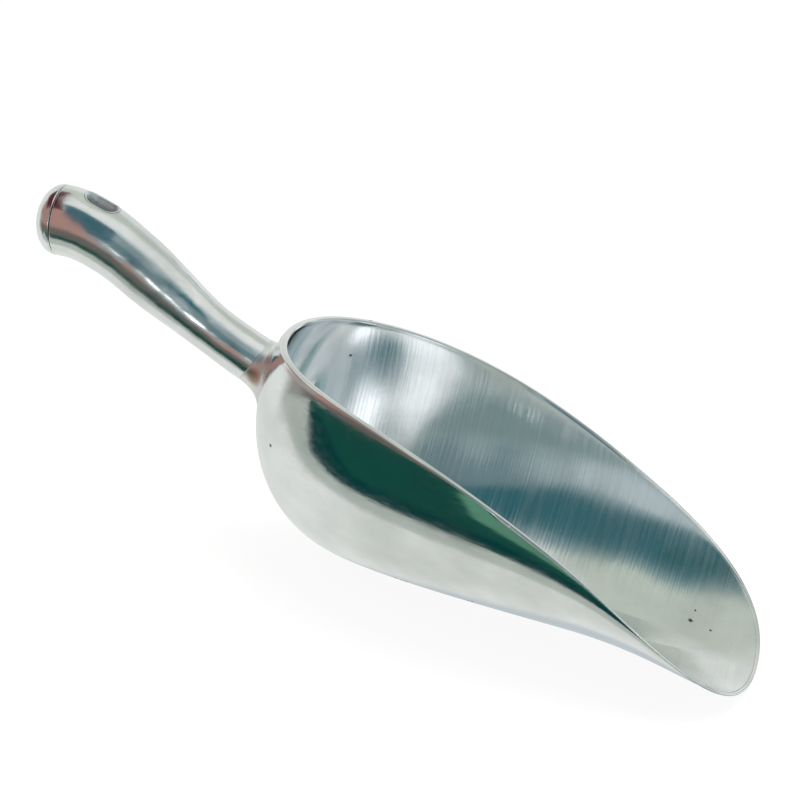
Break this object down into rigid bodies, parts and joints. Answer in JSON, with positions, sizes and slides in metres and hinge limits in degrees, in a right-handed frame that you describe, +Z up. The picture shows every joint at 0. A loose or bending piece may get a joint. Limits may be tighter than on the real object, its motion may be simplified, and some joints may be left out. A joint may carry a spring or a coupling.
{
  "type": "ice scoop",
  "caption": "Cast aluminium ice scoop: deep trough bowl with a slanted open mouth and rounded lip, and a hollow handle with an end cap and a lined hanging hole.",
  "frame": {"origin": "centre of the bounding box in X and Y, on the surface that the scoop's foot rests on", "axes": "+X from the handle to the pouring lip, +Y to the scoop's left, +Z up"},
  "size_m": [0.3398, 0.1236, 0.135],
  "materials": {
    "bowl": "polished casting with fine brushing across the inside and scattered casting pits",
    "handle": "polished casting, slightly uneven",
    "weld": "ground smooth, with a brown heat tint",
    "end_cap": "polished",
    "liner": "satin"
  },
  "bodies": {
    "root": {"scoop_bowl": "bowl", "handle_shell": "handle", "neck_weld": "weld", "handle_end_cap": "end_cap", "hang_hole_liner": "liner"}
  },
  "joints": []
}
